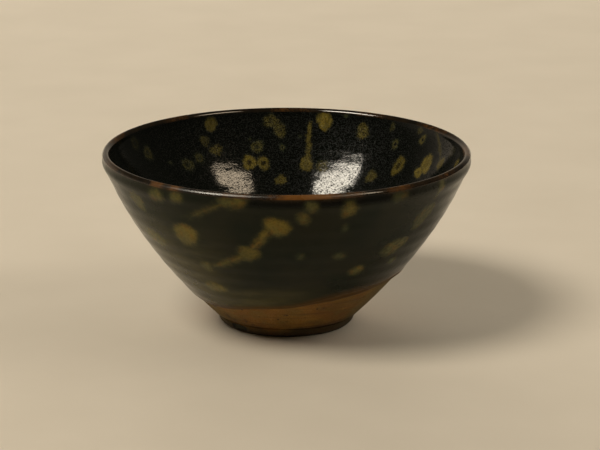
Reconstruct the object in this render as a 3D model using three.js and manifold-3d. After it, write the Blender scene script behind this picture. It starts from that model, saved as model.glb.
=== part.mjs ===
import * as THREE from "three";
import Module from "manifold-3d";
import { mergeVertices } from "three/addons/utils/BufferGeometryUtils.js";

// A small conical stoneware tea bowl. One thrown clay body with a turned foot ring carries a coat of
// dark glaze inside, over the lip and down the outside, where it stops short of the foot in an uneven
// line. Paler splashes of a second glaze are let into the dark coat, flush with its surface.
// Millimetres, +Z up. The foot stands on z = 0, round the origin. Turns are in degrees seen from
// above, from the front (-Y) towards the right (+X). Profiles are lists of (radius, height).

// Whole bowl, over the glaze
const rimRadius = 58.5;
const bowlHeight = 56;

// Glaze coat
const outsideGlaze = 0.5;
const insideGlaze = 0.5;
const rimGlaze = 0.3;
const poolGlaze = 1.6;
const poolRadius = 14;
const glazeSeat = 0.02;

// Clay lip: an upright round-topped end on the sloping wall
const lipThickness = 1.7;
const lipHeight = 3.2;
const lipFlare = 1;
const shoulderThickness = 1.9;
const lipBendShares = [0.6, 0.5];

// Clay wall: the outside and the inside bend by shares of their own reach outwards and upwards
const wallFootRadius = 23;
const outsideBendShares = [0.735, 0.515];
const insideBendShares = [0.64, 0.36];

// Well in the middle of the inside
const wellRadius = 11;
const wellHeight = 7.4;
const wellDip = 0.8;

// Turned foot ring
const footRadius = 21.5;
const footHeight = 3.4;
const footSpread = 0.7;
const footBevel = 0.9;
const ringWidth = 5.3;
const recessDepth = 2;
const recessFillet = 1.2;
const notchHeight = 0.7;
const notchDepth = 0.5;

// Lower edge of the outside glaze: mean height, how far it leans over to one side, and its ripples,
// each a share of the lean with its number of waves and its turn
const lineHeight = 14;
const lineLean = 4.2;
const lineLeanTurn = 8;
const lineRippleShares = [
  [0.14, 5, 20],
  [0.1, 9, 70],
];

// Facets
const aroundSteps = 40;
const wallSteps = 7;
const lipSideSteps = 2;
const lipSteps = 4;
const dishSteps = 3;
const filletSteps = 2;
const lobeCorners = 8;

// How far a cutter passes through what it cuts, and the seam round each splash
const overrun = 1.5;
const splashSeam = 0.02;

// Splashes: [turn, height as a share of the bowl, width and length as shares of the largest splash,
// tilt]. A splash that runs on has further lobes after that, each [across, up, width, length, tilt],
// where across and up are measured along the wall from the first, in shares of the largest splash.
const largestSplash = 10;
const outsideSplashShares = [
  [-36, 0.712, 0.92, 0.98, 10],
  [-55, 0.63, 0.85, 0.8, 0],
  [-54, 0.842, 0.55, 0.65, 20],
  [-43, 0.915, 0.65, 0.36, 0],
  [-16, 0.93, 0.85, 0.32, 0, [-0.6, -0.12, 1.3, 0.24, 14]],
  [
    -3, 0.814, 0.75, 0.76, 35,
    [-0.53, -0.57, 1.35, 0.36, 54],
    [-0.9, -1.15, 0.66, 0.7, 20],
    [-1.47, -1.56, 1.5, 0.26, 30],
  ],
  [-33, 0.509, 0.47, 0.42, 0],
  [-35, 0.357, 0.74, 0.6, 0],
  [5.2, 0.87, 0.4, 0.44, 0],
  [19, 0.912, 0.54, 0.52, 0],
  [29, 0.492, 0.52, 0.5, 0],
  [43, 0.613, 1.3, 0.6, 28],
  [49.7, 0.782, 0.36, 1.2, -25],
  [36, 0.94, 0.56, 0.34, 0],
  [77, 0.79, 0.8, 0.66, 15],
  [97, 0.6, 0.55, 0.6, 0],
  [112, 0.89, 0.6, 0.42, 0],
  [131, 0.69, 0.7, 0.84, -20, [-0.44, -0.47, 1.1, 0.27, 46]],
  [171, 0.56, 0.84, 0.76, 30],
  [-167, 0.9, 0.66, 0.4, 0],
  [-128, 0.82, 0.9, 0.72, -15],
  [-103, 0.57, 0.62, 0.66, 0],
];
const insideSplashShares = [
  [-152.6, 0.93, 0.46, 0.5, 0],
  [-174.7, 0.925, 0.52, 0.5, 0, [0.27, -0.33, 0.46, 0.52, 0]],
  [166.5, 0.93, 0.56, 0.6, 0],
  [171.8, 0.86, 0.16, 0.8, 0, [0.03, -0.66, 0.15, 0.8, 0], [0, -1.12, 0.48, 0.52, 0]],
  [165, 0.684, 0.38, 0.52, 0],
  [151.8, 0.893, 0.45, 0.56, 0],
  [-168.6, 0.789, 0.48, 0.4, 0],
  [-164.8, 0.709, 0.44, 0.55, 0],
  [-170.5, 0.702, 0.44, 0.48, 0],
  [142, 0.668, 0.42, 0.42, 0],
  [-152.2, 0.789, 0.43, 0.4, 0],
  [-137.8, 0.739, 0.52, 0.46, 0],
  [-120.4, 0.85, 0.46, 0.48, 0],
  [131, 0.75, 0.44, 0.78, 0],
  [116.3, 0.805, 0.56, 0.7, 0],
  [103.4, 0.92, 0.5, 0.42, 0],
  [-93, 0.72, 0.5, 0.56, 0],
  [-66, 0.86, 0.6, 0.5, 10],
  [8, 0.84, 0.56, 0.62, 0],
  [40, 0.66, 0.48, 0.5, 0],
  [72, 0.82, 0.54, 0.6, 0],
];
const lobeWaveShares = [
  [0.09, 2],
  [0.07, 3],
];

// Materials
const clayColour = 0x80532e;
const outsideColour = 0x2a251c;
const insideColour = 0x12100c;
const rimColour = 0x5e3d1b;
const outsideSplashColour = 0x63592f;
const insideSplashColour = 0x7a6a30;

const wasm = await Module();
wasm.setup();

const radians = THREE.MathUtils.degToRad;
const place = (radius, height) => new THREE.Vector2(radius, height);

// A closed geometry as a solid that can be cut
function solidOf(geometry) {
  const bare = geometry.clone();
  bare.deleteAttribute("normal");
  bare.deleteAttribute("uv");
  const merged = mergeVertices(bare);
  const corners = Array.from(merged.index.array);
  const kept = [];
  for (let i = 0; i < corners.length; i += 3) {
    const [a, b, c] = corners.slice(i, i + 3);
    if (a !== b && b !== c && c !== a) kept.push(a, b, c);
  }
  const vertProperties = Float32Array.from(merged.attributes.position.array);
  return new wasm.Manifold(new wasm.Mesh({ numProp: 3, vertProperties, triVerts: Uint32Array.from(kept) }));
}

function geometryOf(solid) {
  const mesh = solid.getMesh();
  const geometry = new THREE.BufferGeometry();
  geometry.setAttribute("position", new THREE.BufferAttribute(Float32Array.from(mesh.vertProperties), 3));
  geometry.setIndex(Array.from(mesh.triVerts));
  return geometry;
}

// A profile turned round the bowl's axis
function turned(profile) {
  return new THREE.LatheGeometry(profile, aroundSteps).rotateX(Math.PI / 2);
}

function bentWall(start, end, [outShare, upShare], steps) {
  const bend = place(
    THREE.MathUtils.lerp(start.x, end.x, outShare),
    THREE.MathUtils.lerp(start.y, end.y, upShare),
  );
  return new THREE.QuadraticBezierCurve(start, bend, end).getPoints(steps);
}

function arc(centre, radius, from, to, steps) {
  return new THREE.ArcCurve(centre.x, centre.y, radius, from, to, to < from).getPoints(steps);
}

// The clay surface that the glaze covers, from the foot up the outside, over the lip and down to the
// middle of the well. Each step holds the point and the thickness of the glaze on it.
function glazedPath() {
  const lipRadius = lipThickness / 2;
  const lipCentre = place(rimRadius - rimGlaze - lipRadius, bowlHeight - rimGlaze - lipRadius);
  const lipOutside = place(lipCentre.x + lipRadius, lipCentre.y);
  const lipInside = place(lipCentre.x - lipRadius, lipCentre.y);
  const shoulder = place(lipOutside.x - lipFlare, lipCentre.y - lipHeight);
  const innerShoulder = place(shoulder.x - shoulderThickness, shoulder.y);
  const wellEdge = place(wellRadius, wellHeight);
  const wellMiddle = place(0, wellHeight - wellDip);

  const outsideWall = bentWall(place(wallFootRadius, footHeight), shoulder, outsideBendShares, wallSteps);
  const outsideLip = bentWall(shoulder, lipOutside, lipBendShares, lipSideSteps);
  const lip = arc(lipCentre, lipRadius, 0, Math.PI, lipSteps);
  const insideLip = bentWall(innerShoulder, lipInside, lipBendShares, lipSideSteps).reverse();
  const insideWall = bentWall(wellEdge, innerShoulder, insideBendShares, wallSteps).reverse();
  const dishBend = place(wellRadius / 2, wellMiddle.y);
  const dish = new THREE.QuadraticBezierCurve(wellEdge, dishBend, wellMiddle).getPoints(dishSteps);

  const pool = (point) => Math.max(0, 1 - (point.x / poolRadius) ** 2) * (poolGlaze - insideGlaze);
  const steps = [
    ...outsideWall.map((point) => ({ point, glaze: outsideGlaze })),
    ...outsideLip.slice(1, -1).map((point) => ({ point, glaze: outsideGlaze })),
    ...lip.map((point) => ({ point, glaze: rimGlaze })),
    ...insideLip.slice(1, -1).map((point) => ({ point, glaze: insideGlaze })),
    ...insideWall.map((point) => ({ point, glaze: insideGlaze + pool(point) })),
    ...dish.slice(1).map((point) => ({ point, glaze: insideGlaze + pool(point) })),
  ];
  const lipStart = outsideWall.length + outsideLip.length - 2;
  return { steps, lipStart, lipEnd: lipStart + lipSteps };
}

// The path moved out of the clay, square to it, by a thickness at each step
function raised(steps, thicknessOf) {
  const last = steps.length - 1;
  return steps.map(({ point, glaze }, i) => {
    const along = steps[Math.min(i + 1, last)].point.clone().sub(steps[Math.max(i - 1, 0)].point);
    const square = along.set(along.y, -along.x).normalize();
    const moved = point.clone().addScaledVector(square, thicknessOf(glaze));
    return i === last ? place(0, moved.y) : moved;
  });
}

// Clay body: foot recess, foot ring, notch, and then the glazed path
function bodyProfile(steps) {
  const recessRadius = footRadius - ringWidth;
  const filletCentre = place(recessRadius - recessFillet, recessDepth - recessFillet);
  return [
    place(0, recessDepth),
    ...arc(filletCentre, recessFillet, Math.PI / 2, 0, filletSteps),
    place(recessRadius, 0),
    place(footRadius - footBevel, 0),
    place(footRadius, footBevel),
    place(footRadius + footSpread, footHeight - notchHeight),
    place(footRadius + footSpread - notchDepth, footHeight - notchHeight / 2),
    ...steps.map(({ point }) => point),
  ];
}

// One length of the coat, closed round its cross-section
function coatProfile(seat, surface, from, to) {
  const outer = surface.slice(from, to + 1);
  const inner = seat.slice(from, to + 1).reverse();
  const reachesAxis = inner[0].x === 0;
  return reachesAxis ? [...inner, ...outer] : [...inner, ...outer, inner[0]];
}

// Height of the glaze's lower edge at an angle round the bowl
function glazeLine(angle) {
  let height = lineHeight + lineLean * Math.sin(angle - radians(lineLeanTurn));
  for (const [share, waves, turn] of lineRippleShares) {
    height += lineLean * share * Math.sin(waves * angle + radians(turn));
  }
  return height;
}

// What the outside glaze doesn't reach: a ring round the foot with an uneven top
function bareZone() {
  const top = bowlHeight;
  const inner = wellRadius;
  const outer = rimRadius + overrun;
  const profile = [
    place(inner, -overrun),
    place(outer, -overrun),
    place(outer, top),
    place(inner, top),
    place(inner, -overrun),
  ];
  const ring = turned(profile);
  const spots = ring.attributes.position;
  for (let i = 0; i < spots.count; i += 1) {
    if (spots.getZ(i) > 0) spots.setZ(i, glazeLine(Math.atan2(spots.getX(i), -spots.getY(i))));
  }
  return solidOf(ring);
}

// Where a height meets a profile: the point there and the way up along the wall
function wallAt(surface, height) {
  for (let i = 1; i < surface.length; i += 1) {
    const [low, high] = [surface[i - 1], surface[i]].sort((a, b) => a.y - b.y);
    if (height >= low.y && height <= high.y) {
      const up = high.clone().sub(low);
      const point = low.clone().addScaledVector(up, (height - low.y) / up.y);
      return { point, up: up.normalize() };
    }
  }
  throw new Error("no wall at height " + height);
}

// An uneven oval
function lobeShape(width, length, tilt, seed) {
  const points = [];
  for (let i = 0; i < lobeCorners; i += 1) {
    const angle = (i / lobeCorners) * 2 * Math.PI;
    let reach = 1 / 2;
    for (const [share, waves] of lobeWaveShares) reach += (share / 2) * Math.sin(waves * (angle + seed));
    const corner = place(width * reach * Math.cos(angle), length * reach * Math.sin(angle));
    points.push(corner.rotateAround(place(0, 0), radians(tilt)));
  }
  return new THREE.Shape(points);
}

// The cutter of one lobe, square to the wall where it lies. coat holds the coat's surface and glaze,
// and side, which is 1 outside and -1 inside.
function lobeCutter(spot, lobe, coat, seam, seed) {
  const [turn, heightShare] = spot;
  const [across, up, widthShare, lengthShare, tilt] = lobe;
  const start = wallAt(coat.surface, heightShare * bowlHeight);
  const wall = wallAt(coat.surface, start.point.y + up * largestSplash * start.up.y);
  const angle = radians(turn) + (coat.side * across * largestSplash) / wall.point.x;

  const width = widthShare * largestSplash + 2 * seam;
  const length = lengthShare * largestSplash + 2 * seam;
  const depth = coat.glaze + 2 * overrun;
  const shape = lobeShape(width, length, tilt, seed);
  const geometry = new THREE.ExtrudeGeometry(shape, { depth, bevelEnabled: false });
  geometry.translate(0, 0, overrun - depth);

  const right = new THREE.Vector3(coat.side, 0, 0);
  const upward = new THREE.Vector3(0, -wall.up.x, wall.up.y);
  const outward = right.clone().cross(upward);
  const seat = new THREE.Matrix4().makeBasis(right, upward, outward);
  seat.setPosition(0, -wall.point.x, wall.point.y);
  const spin = new THREE.Matrix4().makeRotationZ(angle);
  return solidOf(geometry.applyMatrix4(spin.multiply(seat)));
}

function splashCutter([turn, heightShare, width, length, tilt, ...runs], coat, seam, seed) {
  const lobes = [[0, 0, width, length, tilt], ...runs];
  const cutters = lobes.map((lobe, i) => lobeCutter([turn, heightShare], lobe, coat, seam, seed + i));
  return cutters.reduce((joined, cutter) => joined.add(cutter));
}

// Lets splashes into a coat: gives them, and the coat with their holes in it
function letIn(coat, splashShares) {
  let rest = coat.solid;
  const splashes = splashShares.map((splash, i) => {
    const piece = rest.intersect(splashCutter(splash, coat, 0, i));
    rest = rest.subtract(splashCutter(splash, coat, splashSeam, i));
    return piece;
  });
  return { rest, splashes };
}

function material(name, color, roughness) {
  return new THREE.MeshStandardMaterial({ name, color, roughness, metalness: 0 });
}

const bowl = new THREE.Group();

function addPiece(name, solid, finish) {
  const mesh = new THREE.Mesh(geometryOf(solid), finish);
  mesh.name = name;
  bowl.add(mesh);
}

function addSplashes(prefix, splashes, finish) {
  splashes.forEach((splash, i) => addPiece(prefix + String(i + 1).padStart(2, "0"), splash, finish));
}

const { steps, lipStart, lipEnd } = glazedPath();
const surface = raised(steps, (glaze) => glaze);
const seat = raised(steps, () => glazeSeat);
const coatSolid = (from, to) => solidOf(turned(coatProfile(seat, surface, from, to)));

const body = solidOf(turned(bodyProfile(steps)));
const rimCoat = coatSolid(lipStart, lipEnd);
const dippedCoat = {
  solid: coatSolid(0, lipStart).subtract(bareZone()),
  surface: surface.slice(0, lipStart + 1),
  glaze: outsideGlaze,
  side: 1,
};
const pouredCoat = {
  solid: coatSolid(lipEnd, steps.length - 1),
  surface: surface.slice(lipEnd),
  glaze: insideGlaze,
  side: -1,
};
const outside = letIn(dippedCoat, outsideSplashShares);
const inside = letIn(pouredCoat, insideSplashShares);

addPiece("stoneware_body", body, material("bare_clay", clayColour, 0.85));
addPiece("inside_glaze", inside.rest, material("inside_glaze", insideColour, 0.12));
addPiece("rim_glaze", rimCoat, material("rim_glaze", rimColour, 0.3));
addPiece("outside_glaze", outside.rest, material("outside_glaze", outsideColour, 0.3));
addSplashes("inside_splash_", inside.splashes, material("inside_splash", insideSplashColour, 0.2));
addSplashes("outside_splash_", outside.splashes, material("outside_splash", outsideSplashColour, 0.35));

export default bowl;
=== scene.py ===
import math

import bpy
import numpy as np
from mathutils import Matrix, Vector


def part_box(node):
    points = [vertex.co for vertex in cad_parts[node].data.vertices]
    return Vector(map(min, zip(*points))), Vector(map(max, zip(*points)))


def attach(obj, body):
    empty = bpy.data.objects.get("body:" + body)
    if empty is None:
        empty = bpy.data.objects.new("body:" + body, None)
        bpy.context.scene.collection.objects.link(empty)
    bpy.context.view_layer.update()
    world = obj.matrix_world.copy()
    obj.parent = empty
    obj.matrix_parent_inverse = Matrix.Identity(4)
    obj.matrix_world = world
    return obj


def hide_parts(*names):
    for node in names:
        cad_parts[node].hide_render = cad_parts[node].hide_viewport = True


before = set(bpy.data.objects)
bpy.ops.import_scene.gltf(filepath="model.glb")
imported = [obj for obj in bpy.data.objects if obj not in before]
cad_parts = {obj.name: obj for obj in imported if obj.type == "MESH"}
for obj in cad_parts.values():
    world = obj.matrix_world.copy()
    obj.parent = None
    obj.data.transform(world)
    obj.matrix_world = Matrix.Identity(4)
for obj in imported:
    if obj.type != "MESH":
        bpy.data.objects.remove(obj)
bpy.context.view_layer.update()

# A tea bowl in four skins: the bare clay, and the glaze outside, over the lip and inside. Each is a grid
# whose rows follow the bowl's profile and whose columns go round it.
# Sizes are in millimetres, as in the part's source, and pieces are scaled to metres when they are made.
# Turns go round the bowl from the front towards the right.
MM = 0.001
rim_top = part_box("rim_glaze")[1] / MM
rim_radius = rim_top.x
bowl_height = rim_top.z

# Glaze coat
outside_glaze = 0.5
inside_glaze = 0.5
rim_glaze = 0.3
pool_glaze = 1.6
pool_radius = 14
glaze_seat = 0.02

# Clay lip
lip_thickness = 1.7
lip_height = 3.2
lip_flare = 1
shoulder_thickness = 1.9
lip_bend_shares = (0.6, 0.5)

# Clay wall, and the well in the middle of the inside
wall_foot_radius = 23
outside_bend_shares = (0.735, 0.515)
inside_bend_shares = (0.64, 0.36)
dish_bend_shares = (0.5, 1)
well_radius = 11
well_height = 7.4
well_dip = 0.8

# Turned foot ring
foot_radius = 21.5
foot_height = 3.4
foot_spread = 0.7
foot_bevel = 0.9
ring_width = 5.3
recess_depth = 2
recess_fillet = 1.2
notch_height = 0.7
notch_depth = 0.5
corner_softness = 0.12

# The unevenness of the whole bowl at its rim: how far it leans in and how far it dips
rim_lean = 0.14
rim_dip = 0.1

# How soon the outside glaze reaches its full thickness above its lower edge, and the roll that it has there
edge_reach = 0.3
edge_roll_height = 0.12
edge_roll_at = 1.2
edge_roll_reach = 0.7

# The chip in the foot
chip_turn = -44
chip_height = 1.5
chip_depth = 0.5
chip_half_width = 3
chip_half_height = 0.95

# Height of the outside glaze's lower edge at turns round the bowl
glaze_line = [
    (-180, 13.2), (-150, 11.4), (-120, 10.4), (-90, 10.2), (-64, 10.5), (-55, 10), (-47, 9.6),
    (-38, 10.2), (-28, 11.2), (-14, 12.4), (-3, 12.8), (7, 13.5), (17, 14.8), (27, 15.6), (39, 15.9),
    (50, 17.7), (61, 18), (90, 18.3), (120, 17.4), (150, 15.3),
]

# Splashes: turn, height as a share of the bowl, width and length as shares of the largest splash, and
# tilt. A splash that runs on has further lobes: across, up, width, length and tilt.
largest_splash = 10
outside_splashes = [
    (-36.2, 0.71, 0.92, 0.86, 0),
    (-56.3, 0.625, 1.1, 0.74, 0),
    (-55, 0.856, 0.8, 0.66, 16),
    (-43, 0.93, 0.65, 0.42, 0),
    (-16, 0.955, 0.85, 0.44, 4, (-0.94, -0.4, 1.45, 0.2, 30)),
    (-3, 0.814, 0.75, 0.76, 35, (-0.53, -0.57, 1.35, 0.28, 54), (-0.9, -1.15, 0.66, 0.7, 20),
     (-1.47, -1.56, 1.5, 0.26, 30)),
    (-33, 0.509, 0.47, 0.42, 0),
    (-35, 0.357, 0.74, 0.6, 0),
    (5.2, 0.87, 0.4, 0.44, 0),
    (19, 0.912, 0.54, 0.52, 0),
    (29, 0.492, 0.44, 0.42, 0),
    (43, 0.613, 1.05, 0.64, 28),
    (51.2, 0.775, 0.72, 1, -34),
    (36, 0.95, 0.56, 0.34, 0),
    (77, 0.79, 0.8, 0.66, 15),
    (97, 0.6, 0.55, 0.6, 0),
    (112, 0.89, 0.6, 0.42, 0),
    (131, 0.69, 0.7, 0.84, -20, (-0.44, -0.47, 1.1, 0.27, 46)),
    (171, 0.56, 0.84, 0.76, 30),
    (-167, 0.9, 0.66, 0.4, 0),
    (-128, 0.82, 0.9, 0.72, -15),
    (-103, 0.57, 0.62, 0.66, 0),
    (-35, 0.942, 0.48, 0.36, 0),
    (7.5, 0.936, 0.33, 0.38, 0),
    (18.9, 0.793, 0.16, 0.2, 0),
    (4.8, 0.62, 0.16, 0.2, 0),
    (19.2, 0.609, 0.33, 0.26, 0),
    (46.2, 0.505, 0.34, 0.3, 20),
    (54.5, 0.932, 0.39, 0.61, 0),
    (-70, 0.4, 0.4, 0.3, 0),
    (63, 0.52, 0.3, 0.34, 0),
    (88, 0.9, 0.36, 0.4, 10),
    (104, 0.74, 0.22, 0.24, 0),
    (124, 0.47, 0.36, 0.42, 0),
    (150, 0.86, 0.5, 0.44, -15),
    (156, 0.64, 0.2, 0.24, 0),
    (-178, 0.76, 0.3, 0.36, 0),
    (-150, 0.62, 0.5, 0.46, 20),
    (-144, 0.92, 0.34, 0.3, 0),
    (-118, 0.44, 0.36, 0.3, 0),
    (-110, 0.9, 0.44, 0.4, 0),
    (-88, 0.74, 0.4, 0.5, 12),
    (-76, 0.92, 0.5, 0.34, 0),
]
inside_splashes = [
    (-152.6, 0.93, 0.46, 0.5, 0),
    (-174.7, 0.925, 0.52, 0.5, 0, (0.27, -0.33, 0.46, 0.52, 0)),
    (166.5, 0.93, 0.56, 0.6, 0),
    (171.8, 0.86, 0.16, 0.8, 0, (0.03, -0.66, 0.15, 0.8, 0), (0, -1.12, 0.48, 0.52, 0)),
    (165, 0.684, 0.38, 0.52, 0),
    (151.8, 0.893, 0.45, 0.56, 0),
    (-168.6, 0.789, 0.48, 0.4, 0),
    (-164.8, 0.709, 0.44, 0.55, 0),
    (-170.5, 0.702, 0.44, 0.48, 0),
    (142, 0.668, 0.42, 0.42, 0),
    (-152.2, 0.789, 0.43, 0.4, 0),
    (-137.8, 0.739, 0.52, 0.46, 0),
    (-120.4, 0.85, 0.46, 0.48, 0),
    (131, 0.75, 0.44, 0.78, 0),
    (116.3, 0.805, 0.56, 0.7, 0),
    (103.4, 0.92, 0.5, 0.42, 0),
    (-93, 0.72, 0.5, 0.56, 0),
    (-66, 0.86, 0.6, 0.5, 10),
    (8, 0.84, 0.56, 0.62, 0),
    (40, 0.66, 0.48, 0.5, 0),
    (72, 0.82, 0.54, 0.6, 0),
    (-178.4, 0.782, 0.2, 0.21, 0),
    (-177.5, 0.612, 0.37, 0.37, 0),
    (-148.6, 0.845, 0.33, 0.39, 0),
    (-144.1, 0.762, 0.38, 0.37, 0),
    (-166.4, 0.829, 0.1, 0.1, 0),
    (174.8, 0.843, 0.1, 0.1, 0),
    (-129.6, 0.77, 0.18, 0.12, 0),
    (-115.7, 0.923, 0.46, 0.48, 0),
    (136.8, 0.854, 0.25, 0.4, 0),
    (140.4, 0.941, 0.2, 0.31, 0),
    (124.9, 0.912, 0.24, 0.38, 0),
    (127.7, 0.959, 0.24, 0.28, 0),
    (118.4, 0.752, 0.42, 0.38, 0),
    (113.8, 0.91, 0.14, 1.2, 52),
    (107.3, 0.841, 0.35, 0.48, 0),
    (159.1, 0.97, 0.11, 0.1, 0),
    (-80, 0.93, 0.4, 0.4, 0),
    (-52, 0.64, 0.42, 0.4, 0),
    (-38, 0.9, 0.44, 0.42, 0),
    (-24, 0.76, 0.4, 0.5, 0),
    (-10, 0.93, 0.36, 0.32, 0),
    (-6, 0.62, 0.38, 0.36, 0),
    (22, 0.92, 0.46, 0.5, 0),
    (30, 0.8, 0.3, 0.34, 0),
    (54, 0.92, 0.4, 0.36, 0),
    (62, 0.7, 0.36, 0.4, 0),
    (88, 0.66, 0.42, 0.46, 0),
    (92, 0.9, 0.38, 0.4, 0),
    (-105, 0.62, 0.4, 0.42, 0),
    (-130, 0.56, 0.36, 0.34, 0),
    (128, 0.58, 0.34, 0.36, 0),
    (70, 0.5, 0.3, 0.3, 0),
    (-60, 0.46, 0.28, 0.3, 0),
]
lobe_wave_shares = [(0.09, 2), (0.07, 3)]

# How much weaker each further lobe of a splash outside is
lobe_fade = 0.1

# Where the glaze on the lip has worn thin: turn, half its width in degrees, and how thin
thin_lip = [
    (-42.5, 3.5, 0.85), (-35.5, 3, 0.85), (-15, 5, 0.6), (6, 12, 1), (20, 4, 0.6), (36, 5, 0.75),
    (58, 6, 0.5), (-70, 7, 0.5), (88, 8, 0.6), (120, 9, 0.5), (-105, 8, 0.6), (-140, 6, 0.5),
    (150, 6, 0.5), (178, 8, 0.5),
]

# Dark marks on the bare clay: turn, height and size
clay_spots = [
    (-0.9, 9.8, 0.42), (21.8, 12.1, 0.4), (0.3, 7, 0.25), (-51.5, 12.1, 0.7), (-52.5, 9.4, 0.6),
    (-45.7, 5.9, 0.9), (-41.5, 5.1, 0.5), (-30.3, 6.1, 0.45), (39, 2, 2.2), (12, 8.4, 0.2),
    (-18, 8.6, 0.22), (-26, 4.4, 0.4),
]

# The gap between points of a profile, and the columns of a coat's surface and of its seat on the clay
step = 0.05
columns = 576
seat_columns = 72
seat_step = columns // seat_columns

random = np.random.default_rng(7)
lattice_order = random.permutation(256)
lattice_values = random.uniform(-1, 1, 256)


def srgb(red, green, blue):
    """A screen colour, each channel 0 to 255, as a shader colour."""
    shares = [channel / 255 for channel in (red, green, blue)]
    curved = [((share + 0.055) / 1.055) ** 2.4 for share in shares]
    linear = [share / 12.92 if share <= 0.04045 else curve for share, curve in zip(shares, curved)]
    return (*linear, 1)


def smooth(values, low, high):
    """A share that rises softly from 0 at low to 1 at high."""
    share = np.clip((values - low) / (high - low), 0, 1)
    return share * share * (3 - 2 * share)


def near(values, middle, reach, power=4):
    """A share that is 1 at the middle and has fallen to about a third one reach away."""
    return np.exp(-(((values - middle) / reach) ** power))


def counted_from(turns, start=0.0):
    """Turns in radians, counted from a start and kept between -pi and pi."""
    return (turns - start + math.pi) % (2 * math.pi) - math.pi


def rough(spots, size, seed):
    """Random values from -1 to 1 that change smoothly over lumps of a size."""
    cells = spots / size + 17.3 * seed
    low = np.floor(cells).astype(int)
    part = cells - low
    part = part * part * (3 - 2 * part)
    values = 0
    for corner in np.ndindex(2, 2, 2):
        x, y, z = np.moveaxis(low + corner, -1, 0)
        share = np.where(corner, part, 1 - part).prod(-1)
        row = lattice_order[(lattice_order[x & 255] + y) & 255]
        values = values + share * lattice_values[(row + z) & 255]
    return values


def bent(start, end, shares, steps=60):
    """A line that leaves towards its bend, whose place is a share of the way, and ends coming from it."""
    start, end = np.array(start, float), np.array(end, float)
    bend = start + np.array(shares) * (end - start)
    t = np.linspace(0, 1, steps)[:, None]
    return (1 - t) ** 2 * start + 2 * t * (1 - t) * bend + t**2 * end


def arc(centre, radius, start, end, steps=40):
    """Part of a circle, from one angle to another in degrees."""
    angles = np.linspace(math.radians(start), math.radians(end), steps)
    return np.array(centre) + radius * np.stack([np.cos(angles), np.sin(angles)], 1)


def evenly(line, gap):
    """The same line with a point about every gap."""
    walked = np.append(0, np.cumsum(np.hypot(*np.diff(line, axis=0).T)))
    at = np.linspace(0, walked[-1], int(walked[-1] / gap) + 1)
    return np.stack([np.interp(at, walked, part) for part in line.T], 1)


def softened(line, width):
    """The line with its corners rounded over a width. Where it meets the axis it stays square to it."""
    reach = int(3 * width / step)
    weights = np.exp(-0.5 * (np.arange(-reach, reach + 1) * step / width) ** 2)
    weights /= weights.sum()

    def beyond(end, points):
        return points * (-1, 1) if abs(end[0]) < 0.001 else 2 * end - points

    before = beyond(line[0], line[reach:0:-1])
    after = beyond(line[-1], line[-2 : -2 - reach : -1])
    longer = np.concatenate([before, line, after])
    return np.stack([np.convolve(part, weights, "valid") for part in longer.T], 1)


class Path:
    """A profile that can be asked for its point and its way out of the clay at distances along it."""

    def __init__(self, line):
        self.line = line
        self.walked = np.append(0, np.cumsum(np.hypot(*np.diff(line, axis=0).T)))
        self.length = self.walked[-1]
        ways = np.gradient(line, axis=0)
        ways /= np.hypot(*ways.T)[:, None]
        self.out = np.stack([ways[:, 1], -ways[:, 0]], 1)

    def along(self, distance, values):
        return np.interp(distance, self.walked, values)

    def points(self, distance, turns, lift=0):
        """Points at distances along the path and turns round the bowl, lifted off the clay."""
        radius = self.along(distance, self.line[:, 0]) + lift * self.along(distance, self.out[:, 0])
        height = self.along(distance, self.line[:, 1]) + lift * self.along(distance, self.out[:, 1])
        radius, turns = np.broadcast_arrays(radius, turns)
        return np.stack([radius * np.sin(turns), -radius * np.cos(turns), height + 0 * turns], -1)

    def at_height(self, height, start, end):
        """Distance along the path where it passes a height, between two distances."""
        part = (self.walked >= start) & (self.walked <= end)
        heights, distances = self.line[part, 1], self.walked[part]
        order = np.argsort(heights)
        return np.interp(height, heights[order], distances[order])


lip_radius = lip_thickness / 2
lip_centre = np.array([rim_radius - rim_glaze - lip_radius, bowl_height - rim_glaze - lip_radius])
lip_outside = lip_centre + (lip_radius, 0)
lip_inside = lip_centre - (lip_radius, 0)
shoulder = lip_outside - (lip_flare, lip_height)
inner_shoulder = shoulder - (shoulder_thickness, 0)
well_edge = np.array([well_radius, well_height])
well_middle = np.array([0, well_height - well_dip])
wall_foot = np.array([wall_foot_radius, foot_height])

glazed_parts = [
    bent(wall_foot, shoulder, outside_bend_shares),
    bent(shoulder, lip_outside, lip_bend_shares),
    arc(lip_centre, lip_radius, 0, 180),
    bent(inner_shoulder, lip_inside, lip_bend_shares)[::-1],
    bent(well_edge, inner_shoulder, inside_bend_shares)[::-1],
    bent(well_edge, well_middle, dish_bend_shares),
]
wall = Path(evenly(np.concatenate(glazed_parts), step))
ends = np.cumsum([np.hypot(*np.diff(part, axis=0).T).sum() for part in glazed_parts])
shoulder_at, lip_start, lip_end, inner_shoulder_at = ends[:4]


def glaze_thickness(distance):
    """Thickness of the glaze along the wall, away from its lower edge."""
    up_outside = smooth(distance, shoulder_at, lip_start)
    up_inside = smooth(distance, inner_shoulder_at, lip_end)
    lip_share = np.minimum(up_outside, up_inside)
    radius = wall.along(distance, wall.line[:, 0])
    pool = np.clip(1 - (radius / pool_radius) ** 2, 0, None) * (distance > lip_end)
    return outside_glaze + lip_share * (rim_glaze - outside_glaze) + pool * (pool_glaze - inside_glaze)


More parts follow.
